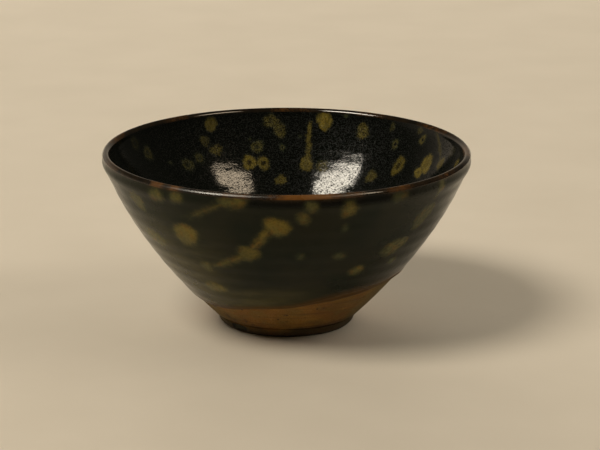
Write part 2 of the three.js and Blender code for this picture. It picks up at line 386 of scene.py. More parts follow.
def line_height(turns):
    """Height of the outside glaze's lower edge."""
    known, heights = np.array(glaze_line, float).T
    known = np.radians(np.concatenate([known - 360, known, known + 360]))
    heights = np.tile(heights, 3)
    spread = math.radians(5)
    shifts = np.linspace(-3, 3, 25)
    weights = np.exp(-0.5 * shifts**2)
    height = sum(
        weight * np.interp(turns + shift * spread, known, heights) for weight, shift in zip(weights, shifts)
    )
    ripple_radius = 30
    circle = ripple_radius * np.stack([np.sin(turns), np.cos(turns), 0 * turns], -1)
    ripple = 0.3 * rough(circle, 7, 1) + 0.12 * rough(circle, 2.2, 2)
    return height / weights.sum() + ripple


def settled(points):
    """The slight unevenness of the whole bowl: its rim dips and leans in by a part of a millimetre."""
    radius = np.hypot(points[..., 0], points[..., 1])
    turns = np.arctan2(points[..., 0], -points[..., 1])
    circle = np.stack([np.sin(turns), np.cos(turns), 0 * turns], -1)
    share = smooth(points[..., 2], 15, bowl_height)
    lean = rim_lean * share * (1 + rough(circle, 0.9, 3))
    dip = rim_dip * share * (1 + rough(circle, 0.8, 4))
    moved = points.copy()
    moved[..., :2] *= (1 - lean / np.maximum(radius, 1))[..., None]
    moved[..., 2] -= dip
    return moved


turns = np.linspace(0, 2 * math.pi, columns, endpoint=False)
around = np.degrees(counted_from(turns))


def ring_relief(distance, points, turns):
    """The throwing rings and unevenness of the glaze, in or out of its surface."""
    outside = distance < lip_start
    pitch = np.where(outside, 5.4, 4.1)
    ring_height = np.where(outside, 0.035, 0.006)
    lump_height = np.where(outside, 0.06, 0.02)
    fine_height = 0.006
    drift = 1.3 * rough(points, 30, 5)
    rings = np.sin(2 * math.pi * (distance + drift) / pitch + turns)
    from_lip = np.minimum(np.abs(distance - lip_start), np.abs(distance - lip_end))
    on_lip = (distance > lip_start) & (distance < lip_end)
    off_lip = np.where(on_lip, 0, smooth(from_lip, 0, 6))
    height = ring_height * (rings - 1) * off_lip
    height += lump_height * (rough(points, 13, 6) - 1) * (0.15 + 0.85 * off_lip)
    return height + fine_height * (rough(points, 2.6, 7) - 1)


def bead(distance):
    """The soft roll under the lip, the two flats that run round it, and its fuller inside."""
    from_lip = distance - lip_start
    roll_at = -2.1
    roll = 0.5 * near(from_lip, roll_at, np.where(from_lip < roll_at, 3, 1.2), 2)
    flats = 0.1 * near(from_lip, 0.62, 0.36, 2) + 0.12 * near(from_lip, 2.17, 0.42, 2)
    return roll - flats + 0.16 * near(distance, lip_end, 0.9, 2)


def normals_of(points):
    """Which way each point of a grid faces. Rows run along the wall, and columns go round the bowl."""
    sideways = np.roll(points, -1, 1) - np.roll(points, 1, 1)
    along = np.gradient(points, axis=0)
    facing = np.cross(sideways, along)
    return facing / np.maximum(np.linalg.norm(facing, axis=-1), 1e-12)[..., None]


def joined(first, count, second, other):
    """Faces between a ring of count points and a ring of other points, or just one."""
    if other > count:
        return [face[::-1] for face in joined(second, other, first, count)]
    if other == 1:
        return [(first + i, first + (i + 1) % count, second) for i in range(count)]
    if other == count:
        nexts = [(i + 1) % count for i in range(count)]
        return [(first + i, first + n, second + n, second + i) for i, n in enumerate(nexts)]
    faces = []
    fold = count // other
    for j in range(other):
        start, end = second + j, second + (j + 1) % other
        fine = [first + (j * fold + i) % count for i in range(fold + 1)]
        half = fold // 2
        faces += [(fine[i], fine[i + 1], start) for i in range(half)]
        faces.append((fine[half], end, start))
        faces += [(fine[i], fine[i + 1], end) for i in range(half, fold)]
    return faces


class Skin:
    """Rings of points that become one mesh, with what is known at each point."""

    def __init__(self):
        self.rings = []
        self.normals = []
        self.marks = {}

    def add_row(self, row, points, normals, marks, gap=1, first_row=0):
        """One row of a grid, with every so many columns. The marks have rows from the first one on."""
        self.rings.append(points[row, ::gap])
        self.normals.append(normals[row, ::gap])
        for name, values in marks.items():
            self.marks.setdefault(name, []).append(values[row - first_row, ::gap])

    def make(self, name, material, closed=False):
        starts = np.append(0, np.cumsum([len(ring) for ring in self.rings]))
        pairs = [(i, i + 1) for i in range(len(self.rings) - 1)]
        if closed:
            pairs.append((len(self.rings) - 1, 0))
        faces = []
        for a, b in pairs:
            faces += joined(int(starts[a]), len(self.rings[a]), int(starts[b]), len(self.rings[b]))
        mesh = bpy.data.meshes.new(name)
        mesh.from_pydata(settled(np.concatenate(self.rings)) * MM, [], faces)
        mesh.validate()
        mesh.shade_smooth()
        for mark, rows in self.marks.items():
            values = np.concatenate([row.reshape(len(ring), -1) for row, ring in zip(rows, self.rings)])
            kind, field = ("FLOAT", "value") if values.shape[1] == 1 else ("FLOAT_VECTOR", "vector")
            attribute = mesh.attributes.new(mark, kind, "POINT")
            attribute.data.foreach_set(field, values.astype(np.float32).ravel())
        mesh.normals_split_custom_set_from_vertices(np.concatenate(self.normals))
        mesh.materials.append(material)
        piece = bpy.data.objects.new(name, mesh)
        bpy.context.scene.collection.objects.link(piece)
        return piece


def span(radius, limits):
    """How many columns one face spans, twice as many for each limit that the radius is within."""
    return 2 ** sum(int(radius <= limit) for limit in limits)


# How deep a point outside every splash counts as at least, and a point inside one at most
far_out = -2.5
deepest = 4


def splash_marks(splashes, tones, side, distance, radius):
    """How deep each point lies in a splash, its place in it, and the splash's tone. Side is 1 for the
    outside of the bowl and -1 for the inside."""
    depth = np.full(distance.shape, far_out)
    spot = np.zeros(distance.shape + (3,))
    tone = np.full(distance.shape + (4,), 0.5)
    start, end = (0, lip_start) if side > 0 else (lip_end, wall.length)
    for seed, (turn, height_share, width, length, tilt, *runs) in enumerate(splashes):
        first = wall.at_height(height_share * bowl_height, start, end)
        lobes = [(0, 0, width, length, tilt), *runs]
        for i, (across, up, lobe_width, lobe_length, lean) in enumerate(lobes):
            middle = first + side * up * largest_splash
            middle_radius = wall.along(middle, wall.line[:, 0])
            middle_turn = math.radians(turn) + side * across * largest_splash / middle_radius
            right = side * counted_from(turns, middle_turn) * radius
            above = side * (distance - middle)
            cos = math.cos(math.radians(lean))
            sin = math.sin(math.radians(lean))
            half_width = lobe_width * largest_splash / 2
            half_length = lobe_length * largest_splash / 2
            u = (right * cos + above * sin) / half_width
            v = (above * cos - right * sin) / half_length
            out = np.maximum(np.hypot(u, v), 0.02)
            angle = np.arctan2(v, u) + seed + i
            reach = 1 + sum(share * np.sin(waves * angle) for share, waves in lobe_wave_shares)
            steepness = np.hypot(u / half_width, v / half_length) / out
            inside = np.clip((reach - out) / np.maximum(steepness, 0.05), far_out, deepest)
            nearest = inside > depth
            depth = np.where(nearest, inside, depth)
            spot[nearest] = np.stack([u, v, np.full(u.shape, seed * 3.7 + i)], -1)[nearest]
            strength = 1 - lobe_fade * i if side > 0 else 1
            tone[nearest] = np.array(tones[seed]) * (strength, 1, strength, 1)
    return {"splash": depth, "spot": spot, "tone": tone[..., :3], "hollow": tone[..., 3]}


def thin_marks(distance):
    """How thin the glaze is on the lip."""
    thin = np.zeros(distance.shape)
    for turn, half_width, amount in thin_lip:
        away = np.degrees(counted_from(turns, math.radians(turn)))
        thin = np.maximum(thin, amount * near(away, 0, half_width))
    return thin


class Look:
    """The nodes of one material."""

    def __init__(self, name, **constants):
        self.material = bpy.data.materials.new(name)
        self.material.use_nodes = True
        self.nodes, self.links = self.material.node_tree.nodes, self.material.node_tree.links
        self.shader = self.nodes["Principled BSDF"]
        for key, value in constants.items():
            self.shader.inputs[key.replace("_", " ")].default_value = value
        self.place = self.add("ShaderNodeTexCoord").outputs["Object"]

    def add(self, kind, inputs=None, **settings):
        node = self.nodes.new(kind)
        for key, value in settings.items():
            setattr(node, key, value)
        for key, value in (inputs or {}).items():
            self.feed(node.inputs[key], value)
        return node

    def feed(self, socket, value):
        if isinstance(value, bpy.types.NodeSocket):
            self.links.new(value, socket)
        else:
            socket.default_value = value

    def math(self, operation, first, second=0.0):
        return self.add("ShaderNodeMath", {0: first, 1: second}, operation=operation).outputs[0]

    def plus(self, first, second):
        return self.math("ADD", first, second)

    def times(self, first, second):
        return self.math("MULTIPLY", first, second)

    def swing(self, value, size):
        """A value from 0 to 1 as one from minus to plus half a size."""
        return self.times(self.math("SUBTRACT", value, 0.5), size)

    def without(self, share, part):
        """A share with a part of it taken off."""
        return self.times(share, self.math("SUBTRACT", 1.0, part))

    def ramp(self, value, low, high, start=0.0, end=1.0):
        """A value that goes from start to end while another goes from low to high."""
        inputs = {"Value": value, "From Min": low, "From Max": high, "To Min": start, "To Max": end}
        return self.add("ShaderNodeMapRange", inputs, interpolation_type="SMOOTHSTEP").outputs[0]

    def blend(self, share, first, second):
        node = self.add("ShaderNodeMix", {0: share, 6: first, 7: second}, data_type="RGBA")
        return node.outputs[2]

    def scaled(self, vector, scale):
        scale = scale if isinstance(scale, tuple) else (scale, scale, scale)
        return self.add("ShaderNodeVectorMath", {0: vector, 1: scale}, operation="MULTIPLY").outputs[0]

    def noise(self, size, detail=2.0, stretch=(1, 1, 1), vector=None):
        """Noise with lumps of about a size in millimetres."""
        if vector is None:
            vector = self.scaled(self.place, tuple(part / (size * MM) for part in stretch))
        else:
            vector = self.scaled(vector, 1 / size)
        inputs = {"Vector": vector, "Scale": 1.0, "Detail": detail}
        return self.add("ShaderNodeTexNoise", inputs).outputs["Fac"]

    def dots(self, size, low, high):
        """1 in scattered dots, one to each cell of a size in millimetres."""
        vector = self.scaled(self.place, 1 / (size * MM))
        cells = self.add("ShaderNodeTexVoronoi", {"Vector": vector, "Scale": 1.0})
        return self.ramp(cells.outputs["Distance"], low, high, 1.0, 0.0)

    def mark(self, name, kind="Fac"):
        return self.add("ShaderNodeAttribute", attribute_name=name).outputs[kind]

    def parts(self, vector):
        """The three numbers of a vector."""
        return self.add("ShaderNodeSeparateXYZ", {0: vector}).outputs

    def bump(self, height, distance, normal=None):
        """A bump whose heights are in shares of a distance in millimetres."""
        inputs = {"Height": height, "Distance": distance * MM, "Strength": 1.0}
        if normal is not None:
            inputs["Normal"] = normal
        return self.add("ShaderNodeBump", inputs).outputs[0]

    def done(self, colour, roughness, normal):
        self.feed(self.shader.inputs["Base Color"], colour)
        self.feed(self.shader.inputs["Roughness"], roughness)
        self.feed(self.shader.inputs["Normal"], normal)
        return self.material


def clay_look():
    """Buff clay with fine turning lines and dark specks, olive and chipped places, dark spots, and painted
    shade low on the foot.
    """
    look = Look("clay", IOR=1.45)
    cloud = look.noise(9, 3)
    colour = look.blend(look.ramp(cloud, 0.35, 0.65), srgb(122, 84, 29), srgb(142, 104, 39))
    patch = look.noise(6, 2, (1, 1, 1.8))
    colour = look.blend(look.ramp(patch, 0.5, 0.65, 0.0, 0.6), colour, srgb(108, 90, 38))
    grain = look.noise(0.35, 2)
    colour = look.blend(look.ramp(grain, 0.45, 0.7, 0.0, 0.55), colour, srgb(112, 72, 34))
    lines = look.noise(0.8, 3, (0.03, 0.03, 1))
    colour = look.blend(look.ramp(lines, 0.5, 0.66, 0.0, 0.55), colour, srgb(98, 64, 30))
    specks = look.times(look.dots(2.6, 0.1, 0.17), look.ramp(look.noise(3.1), 0.5, 0.56))
    colour = look.blend(specks, colour, srgb(38, 20, 10))
    colour = look.blend(look.mark("olive"), colour, srgb(94, 80, 28))
    # Painted shade low on the foot, and dark spots
    spots_and_shade = look.mark("spots_and_shade")
    colour = look.blend(spots_and_shade, colour, srgb(50, 42, 25))
    chip = look.mark("chip")
    colour = look.blend(look.ramp(chip, 0.1, 0.45), colour, srgb(14, 11, 6))
    colour = look.blend(look.ramp(chip, 0.6, 0.95), colour, srgb(60, 58, 38))
    roughness = look.ramp(grain, 0.3, 0.7, 0.62, 0.9)
    fine = look.bump(grain, 0.05)
    normal = look.bump(lines, 0.07, fine)
    return look.done(colour, roughness, normal)


def outside_look():
    """A coat close to black, milky or burnt brown in places, with soft paler splashes, a painted sheen of
    pale grey low down and on the left, and a painted black shade under the lip.
    """
    look = Look("outside_coat", IOR=1.2)
    cloud = look.noise(17, 3)
    colour = look.blend(look.ramp(cloud, 0.35, 0.65), srgb(24, 30, 20), srgb(34, 35, 23))
    grain = look.noise(0.6, 3)
    colour = look.blend(look.ramp(grain, 0.5, 0.8, 0.0, 0.3), colour, srgb(31, 33, 21))
    # Pale grey where the glaze is milky, partly a painted sheen, and a painted sheen higher up on the left
    milk_sheen_streaks = look.ramp(look.noise(6, 3, (0.6, 0.6, 2.5)), 0.3, 0.7, 0.5, 1.0)
    colour = look.blend(look.times(look.mark("milk_and_sheen"), milk_sheen_streaks), colour, srgb(78, 74, 45))
    # Painted shade: the near-black band under the lip
    colour = look.blend(look.mark("thick_and_shade"), colour, srgb(3, 4, 2))
    burnt = look.blend(look.noise(3, 2), srgb(76, 52, 24), srgb(104, 74, 36))
    colour = look.blend(look.mark("thin"), colour, burnt)
    veil = look.mark("veil")
    brown = look.blend(look.noise(2.2, 3), srgb(77, 54, 23), srgb(98, 71, 34))
    colour = look.blend(look.ramp(veil, 0.1, 1.0, 0.0, 0.92), colour, brown)
    colour = look.blend(look.ramp(veil, 0.9, 0.99, 0.0, 0.45), colour, srgb(24, 16, 8))

    # Splashes, frayed and greener at their edges and more ochre towards the upper right
    wander = look.math("SUBTRACT", look.noise(1.9, 2), 0.5)
    depth = look.plus(look.mark("splash"), look.times(wander, 1.8))
    depth = look.plus(depth, look.swing(look.noise(0.5, 2), 0.8))
    ochre, broken, strength = look.parts(look.mark("tone", "Vector"))
    share = look.ramp(depth, -1.6, 2.0)
    mottle = look.times(look.ramp(look.noise(1.3, 3), 0.55, 0.38), broken)
    share = look.times(look.without(share, look.times(mottle, 0.6)), strength)
    across, up, _ = look.parts(look.mark("spot", "Vector"))
    side = look.plus(look.times(across, 0.5), look.times(up, 0.35))
    side = look.ramp(look.plus(side, wander), -0.9, 0.5, 0.35, 1.0)
    splash = look.blend(look.times(ochre, side), srgb(88, 92, 60), srgb(124, 108, 46))
    warm = look.ramp(look.noise(2.6, 2), 0.5, 0.72, 0.0, 0.55)
    splash = look.blend(warm, splash, srgb(122, 86, 34))
    splash = look.blend(look.ramp(look.noise(0.7, 3), 0.45, 0.65, 0.0, 0.35), splash, srgb(72, 68, 30))
    splash = look.blend(look.ramp(depth, 0.4, -0.8, 0.0, 0.7), splash, srgb(66, 74, 48))
    colour = look.blend(share, colour, splash)

    roughness = look.ramp(look.noise(5, 3), 0.3, 0.7, 0.14, 0.24)
    roughness = look.plus(roughness, look.times(look.mark("thick_and_shade"), 0.12))
    roughness = look.plus(roughness, look.ramp(veil, 0.6, 1.0, 0.0, 0.35))
    peel = look.bump(look.noise(1.6, 2), 0.035)
    lines = look.bump(look.noise(1.6, 2, (0.05, 0.05, 1)), 0.01, peel)
    normal = look.bump(share, 0.03, lines)
    return look.done(colour, roughness, normal)


def rim_look():
    """A thin dark coat, paler brown where it has worn thin."""
    look = Look("rim_coat", IOR=1.5)
    cloud = look.noise(4, 3)
    colour = look.blend(look.ramp(cloud, 0.35, 0.65), srgb(18, 14, 8), srgb(36, 25, 13))
    thin = look.mark("thin")
    worn = look.plus(thin, look.swing(look.noise(1.5, 3), 1.2))
    burnt = look.blend(look.ramp(look.noise(1.6, 3), 0.35, 0.65), srgb(66, 40, 13), srgb(94, 58, 21))
    burnt = look.blend(look.ramp(thin, 0.7, 1.0), burnt, srgb(106, 65, 19))
    colour = look.blend(look.ramp(worn, 0.15, 1.1), colour, burnt)
    roughness = look.ramp(look.noise(1.2, 2), 0.3, 0.7, 0.06, 0.1)
    roughness = look.plus(roughness, look.times(look.mark("dull"), 0.2))
    roughness = look.plus(roughness, look.times(thin, 0.1))
    normal = look.bump(look.noise(1.2, 2), 0.006)
    return look.done(colour, roughness, normal)


def inside_look():
    """A black coat with dull hairlines, and ochre splashes full of pits, streaks and hollows."""
    look = Look("inside_coat", IOR=1.4)
    grain = look.noise(0.45, 2)
    colour = look.blend(look.ramp(grain, 0.52, 0.8), srgb(5, 7, 4), srgb(20, 23, 15))

    # Spokes run out from the middle of each splash, and falls run down it
    spot = look.mark("spot", "Vector")
    across, up, seed = look.parts(spot)
    flat = look.add("ShaderNodeCombineXYZ", {0: across, 1: up}).outputs[0]
    out = look.add("ShaderNodeVectorMath", {0: flat}, operation="LENGTH").outputs["Value"]
    way = look.add("ShaderNodeVectorMath", {0: flat}, operation="NORMALIZE").outputs[0]
    spoke_way = look.scaled(way, 3.4)
    spoke_seed = look.add("ShaderNodeCombineXYZ", {2: look.times(seed, 5.3)}).outputs[0]
    spoke_at = look.add("ShaderNodeVectorMath", {0: spoke_way, 1: spoke_seed}, operation="ADD").outputs[0]
    spokes = look.noise(1, 1, vector=spoke_at)
    falls = look.noise(1, 2, vector=look.scaled(spot, (3.5, 0.6, 1)))

    # They fray its edge, and dark holes and a hollow middle break its colour
    crumbs = look.noise(0.45, 2)
    fray = look.plus(look.swing(spokes, 0.9), look.swing(crumbs, 1.3))
    fray = look.plus(fray, look.swing(look.noise(1.5, 2), 1.6))
    depth = look.plus(look.mark("splash"), fray)
    share = look.ramp(depth, -0.8, 0.8)
    ochre, broken, strength = look.parts(look.mark("tone", "Vector"))
    speck = look.noise(0.42, 2)
    pits = look.times(look.ramp(speck, 0.56, 0.42), look.ramp(broken, 0.0, 0.8, 0.25, 1.0))
    lean = look.times(look.ramp(falls, 0.52, 0.36), 0.5)
    core = look.times(look.ramp(look.plus(out, crumbs), 0.98, 0.76), look.mark("hollow"))
    holes = look.math("MAXIMUM", look.math("MAXIMUM", look.times(pits, 0.85), lean), core)
    yellow = look.blend(ochre, srgb(58, 62, 43), srgb(126, 105, 34))
    yellow = look.blend(look.ramp(look.noise(0.35, 2), 0.45, 0.62, 0.0, 0.6), yellow, srgb(56, 50, 20))
    ring = look.times(look.ramp(out, 0.3, 0.5), look.ramp(out, 0.95, 0.65))
    yellow = look.blend(look.times(ring, 0.35), yellow, srgb(120, 106, 44))
    fringe = look.ramp(depth, 0.5, -0.5, 0.0, 0.75)
    yellow = look.blend(fringe, yellow, srgb(60, 66, 46))
    yellow = look.blend(look.ramp(speck, 0.6, 0.72, 0.0, 0.6), yellow, srgb(122, 120, 86))
    share = look.times(look.without(share, holes), strength)
    colour = look.blend(share, colour, yellow)

    # The shine breaks up along the creases of a fine wrinkle
    wrinkle = look.math("ABSOLUTE", look.math("SUBTRACT", look.noise(0.7, 1, (0.8, 0.8, 1.2)), 0.5))
    roughness = look.ramp(wrinkle, 0.016, 0.04, 0.95, 0.06)
    worms = look.bump(look.ramp(wrinkle, 0.0, 0.2), 0.004)
    normal = look.bump(look.noise(0.6, 1), 0.002, worms)
    return look.done(colour, roughness, normal)


def floor_look():
    look = Look("floor", Roughness=0.9, Specular_IOR_Level=0.1)
    colour = look.blend(look.noise(40, 2), srgb(204, 190, 169), srgb(214, 200, 179))
    return look.done(colour, 0.9, look.bump(look.noise(1.2, 1), 0.02))


def tones_for(splashes, known, seed):
    """The known tones, then random ones for the rest of the splashes."""
    lowest = (0.2, 0.2, 0.5, 0)
    highest = (1, 0.9, 1, 0.6)
    rest = np.random.default_rng(seed).uniform(lowest, highest, (len(splashes) - len(known), 4))
    return [*known, *rest]


# How ochre, broken, strong and hollow a splash is, for the ones that show
known_outside_tones = [
    (0.9, 0.1, 1, 0), (0.3, 0.4, 1, 0), (0.35, 0.5, 0.7, 0), (0.5, 0.5, 0.8, 0),
    (0.8, 0.4, 0.52, 0), (1, 0.1, 1, 0), (0.35, 0.3, 0.8, 0), (0.6, 0.3, 1, 0),
    (0.6, 0.2, 0.8, 0), (0.85, 0.2, 0.85, 0), (0.6, 0.3, 0.95, 0), (0.3, 0.7, 0.8, 0),
    (0.3, 0.5, 0.55, 0), (0.3, 0.4, 0.45, 0), (0.5, 0.4, 0.7, 0), (0.6, 0.3, 0.8, 0),
    (0.4, 0.4, 0.8, 0), (0.9, 0.2, 1, 0), (0.7, 0.4, 0.9, 0), (0.4, 0.4, 0.7, 0),
    (0.9, 0.2, 1, 0), (0.5, 0.4, 0.8, 0), (0.6, 0.4, 0.7, 0), (0.5, 0.3, 0.8, 0),
    (0, 0.2, 0.7, 0), (0, 0.2, 0.7, 0), (0.1, 0.3, 0.7, 0), (0, 0.2, 0.8, 0),
    (0.4, 0.4, 0.6, 0),
]
known_inside_tones = [
    (0.7, 0.1, 0.55, 0), (0.4, 0.9, 0.65, 0), (1, 0, 1, 0), (0.8, 0.5, 0.85, 0.3),
    (0.4, 0.8, 0.7, 0), (0.6, 1, 0.85, 0), (0.2, 0.8, 0.75, 0.6), (0.95, 0.4, 0.95, 0.9),
    (0.8, 0.5, 0.9, 0.9), (0.5, 0.3, 0.6, 0), (0.6, 0.9, 0.6, 0), (0.1, 0.8, 0.5, 0),
    (0.2, 0.4, 0.35, 0), (0.9, 0.5, 0.7, 0.8), (1, 0.3, 0.9, 0.4), (0.3, 0.5, 0.12, 0),
    (0.6, 0.5, 0.9, 0.2), (0.8, 0.2, 0.9, 0.3), (0.9, 0.4, 1, 0.5), (0.5, 0.7, 0.8, 0),
    (0.8, 0.3, 0.9, 0.4), (0, 0.2, 0.6, 1), (0.8, 0.5, 0.65, 0.2), (0.5, 0.6, 0.4, 0),
    (0.1, 0.4, 0.45, 0), (0, 0.2, 0.5, 0), (0, 0.2, 0.4, 0), (0, 0.3, 0.4, 0),
    (0.1, 0.5, 0.2, 0), (0.1, 0.3, 0.75, 1), (0.2, 0.5, 0.5, 0), (0.5, 0.3, 0.8, 1),
    (0.5, 0.4, 0.35, 0), (1, 0.3, 1, 0.6), (0.6, 0.2, 0.35, 0), (0.9, 0.2, 0.5, 0),
    (0, 0.1, 1, 0),
]
outside_tones = tones_for(outside_splashes, known_outside_tones, 11)
inside_tones = tones_for(inside_splashes, known_inside_tones, 12)

# The coat's surface as one grid: the outside from the glaze's lower edge up, the lip, and the inside
edge_steps = np.array([0, 0.08, 0.2, 0.36, 0.56, 0.8, 1.1, 1.5])
outside_rows = 118
outside_crowding = 1.4
lip_rows = 18
inside_gap = 0.45
line_at = wall.at_height(line_height(turns), 0, shoulder_at)
outside_shares = 1 - (1 - np.linspace(0, 1, outside_rows)[1:]) ** outside_crowding
lower = line_at + edge_steps[:, None]
upper = lower[-1] + outside_shares[:, None] * (lip_start - lower[-1])
lip_distances = np.linspace(lip_start, lip_end, lip_rows)[1:]
inside_count = int((wall.length - lip_end) / inside_gap)
inside_distances = np.linspace(lip_end, wall.length, inside_count)[1:]
level = np.concatenate([lip_distances, inside_distances])[:, None] + 0 * turns
distance = np.concatenate([lower, upper, level])
first_lip_row = len(lower) + len(upper) - 1
last_lip_row = first_lip_row + lip_rows - 1
last_row = len(distance) - 1

above_line = distance - line_at
on_clay = wall.points(distance, turns)
edge = 1 - np.exp(-above_line / edge_reach)
roll = edge_roll_height * near(above_line, edge_roll_at, edge_roll_reach, 2)
lift = glaze_seat + (glaze_thickness(distance) - glaze_seat) * edge + roll
lift += ring_relief(distance, on_clay, turns) * edge + bead(distance)
coat = wall.points(distance, turns, lift)
coat[-1, :, :2] = 0
coat[-1, :, 2] = coat[-1, :, 2].mean()
coat_normals = normals_of(settled(coat))
coat_normals[-1] = (0, 0, 1)
seat = wall.points(distance, turns, glaze_seat)
seat_normals = -coat_normals
radius = np.hypot(coat[..., 0], coat[..., 1])

thin = thin_marks(distance)
outside_part = slice(0, first_lip_row + 1)
outside_distance = distance[outside_part]
outside_above = above_line[outside_part]
outside_marks = splash_marks(outside_splashes, outside_tones, 1, outside_distance, radius[outside_part])

# The brown of the worn lip reaches a little way down
thin_reach = 0.4
thin_share = 0.4
below_lip = np.exp(-np.abs(distance - lip_start) / thin_reach)
outside_marks["thin"] = (thin * below_lip * thin_share)[outside_part]

# Painted shade: a black band close under the lip stands in for the shade and dark reflection of its roll,
# over glaze that is thick and black there too, most of all at the front, but not over splashes
thick_and_shade = 0.97 * near(outside_distance, lip_start - 1, 1.6) * (0.3 + 0.7 * near(around, 12, 32))
outside_marks["thick_and_shade"] = thick_and_shade * (1 - 0.7 * smooth(outside_marks["splash"], -1, 1))

# Clay shows brown through the thin glaze at its lower edge, highest at the front right
veil_height = 2.7 + 2.2 * near(around, 48, 36) + 0.6 * rough(on_clay[0], 6, 16)
outside_marks["veil"] = near(outside_above, 0, veil_height, 2)

# Low down at the front left and at the back the glaze is milky, and its pale grey there is partly a painted
# sheen; higher up on the left the pale grey is painted sheen alone
milk_and_sheen = 0.97 * (near(around, -32, 40) + 0.5 * near(around, 150, 60)) * near(outside_above, 4, 7)
left_sheen = near(around, -62, 34) * (1 - smooth(outside_above, 20, 52))
outside_marks["milk_and_sheen"] = np.maximum(milk_and_sheen, left_sheen)

outside_coat = Skin()
for row in range(first_lip_row + 1):
    outside_coat.add_row(row, coat, coat_normals, outside_marks)
for row in range(first_lip_row, -1, -12):
    outside_coat.add_row(row, seat, seat_normals, outside_marks, seat_step)
outside_piece = outside_coat.make("outside_coat", outside_look(), closed=True)

# The lip shines less over two stretches of the front
dull = near(around, -26, 26) + 1.1 * near(around, 16, 11)
rim_marks = {"thin": thin, "dull": dull + 0 * distance}
rim_coat = Skin()
for row in range(first_lip_row, last_lip_row + 1):
    rim_coat.add_row(row, coat, coat_normals, rim_marks)
for row in range(last_lip_row, first_lip_row - 1, -4):
    rim_coat.add_row(row, seat, seat_normals, rim_marks, seat_step)
rim_piece = rim_coat.make("rim_coat", rim_look(), closed=True)

inside_part = slice(last_lip_row, None)
inside_marks = splash_marks(inside_splashes, inside_tones, -1, distance[inside_part], radius[inside_part])
inside_coat = Skin()
inside_coat.add_row(last_row, seat, seat_normals, inside_marks, columns, last_lip_row)
for row in reversed(range(last_lip_row, last_row, 12)):
    inside_coat.add_row(row, seat, seat_normals, inside_marks, seat_step, last_lip_row)
for row in range(last_lip_row, last_row):
    gap = span(radius[row].mean(), (28, 14, 7, 3))
    inside_coat.add_row(row, coat, coat_normals, inside_marks, gap, last_lip_row)
inside_coat.add_row(last_row, coat, coat_normals, inside_marks, columns, last_lip_row)
inside_piece = inside_coat.make("inside_coat", inside_look())

# Clay: the foot, the bare zone and what the glaze covers
recess_radius = foot_radius - ring_width
fillet_centre = (recess_radius - recess_fillet, recess_depth - recess_fillet)
foot_parts = [
    np.array([(0, recess_depth), (fillet_centre[0], recess_depth)]),
    arc(fillet_centre, recess_fillet, 90, 0, 12),
    np.array([
        (recess_radius, 0),
        (foot_radius - foot_bevel, 0),
        (foot_radius, foot_bevel),
        (foot_radius + foot_spread, foot_height - notch_height),
        (foot_radius + foot_spread - notch_depth, foot_height - notch_height / 2),
        wall_foot,
    ]),
]
foot_line = evenly(np.concatenate(foot_parts), step)
foot_length = np.hypot(*np.diff(foot_line, axis=0).T).sum()
body_line = softened(evenly(np.concatenate([foot_line, wall.line[1:]]), step), corner_softness)
body_line[:, 1] = np.maximum(body_line[:, 1], 0)
body = Path(body_line)
body_columns = 384
body_turns = np.linspace(0, 2 * math.pi, body_columns, endpoint=False)

# Rows, closest together from the flat of the foot up to the top of the bare zone
flat_at = foot_length - 11
bare_top = foot_length + 22
body_rows = np.concatenate([
    np.linspace(0, flat_at, 44),
    np.linspace(flat_at, foot_length, 50)[1:],
    np.linspace(foot_length, bare_top, 78)[1:],
    np.linspace(bare_top, body.length, 60)[1:],
])
body_at = body_rows[:, None] + 0 * body_turns
flat_points = body.points(body_at, body_turns)
flat_height = flat_points[..., 2]
body_radius = np.hypot(flat_points[..., 0], flat_points[..., 1])
body_line_at = foot_length + wall.at_height(line_height(body_turns), 0, shoulder_at)
bare = 1 - smooth(body_at, body_line_at - 1.2, body_line_at)

# Turning grooves, lumps and grain, and the spiral in the recess
groove_pitch = 1.15
spiral_pitch = 3.2
grooves = np.sin(2 * math.pi * (body_at + 0.4 * rough(flat_points, 14, 8)) / groove_pitch + body_turns)
relief = 0.022 * (grooves - 1)
relief += 0.035 * (rough(flat_points, 5, 9) - 1)
relief += 0.02 * (rough(flat_points, 0.9, 10) - 1)
in_recess = 1 - smooth(body_radius, recess_radius - 2.5, recess_radius - 1.2)
in_recess *= flat_height < foot_height
spiral = np.sin(2 * math.pi * body_radius / spiral_pitch - body_turns)
relief += in_recess * 0.09 * spiral * smooth(body_radius, 0.5, 4)
on_flat = (flat_height < 0.02) & (body_radius > recess_radius - 0.3)
relief *= bare * np.where(on_flat, 0, 1)

# The chip, placed in millimetres. A degree of turn is this long at the foot.
foot_degree = 0.38
from_chip = foot_degree * np.degrees(counted_from(body_turns, math.radians(chip_turn)))
chip = near(from_chip, 0, chip_half_width) * near(flat_height, chip_height, chip_half_height)
chip *= (body_radius > foot_radius - 1.2) * (flat_height < foot_height)
relief -= chip_depth * chip * (1 + 0.4 * rough(flat_points, 0.8, 13))

clay = body.points(body_at, body_turns, relief)
clay[..., 2] = np.maximum(clay[..., 2], 0)
for end in (0, -1):
    clay[end, :, :2] = 0
    clay[end, :, 2] = clay[end, :, 2].mean()
clay_normals = normals_of(settled(clay))
clay_normals[0] = (0, 0, -1)
clay_normals[-1] = (0, 0, 1)

# Painted shade darkens the clay low on the foot, most of all at the front right, and dark spots are scattered
# over it
body_around = np.degrees(counted_from(body_turns))
darker = 1.8 * near(body_around, 40, 33) + 0.6 * near(body_around, -45, 16)
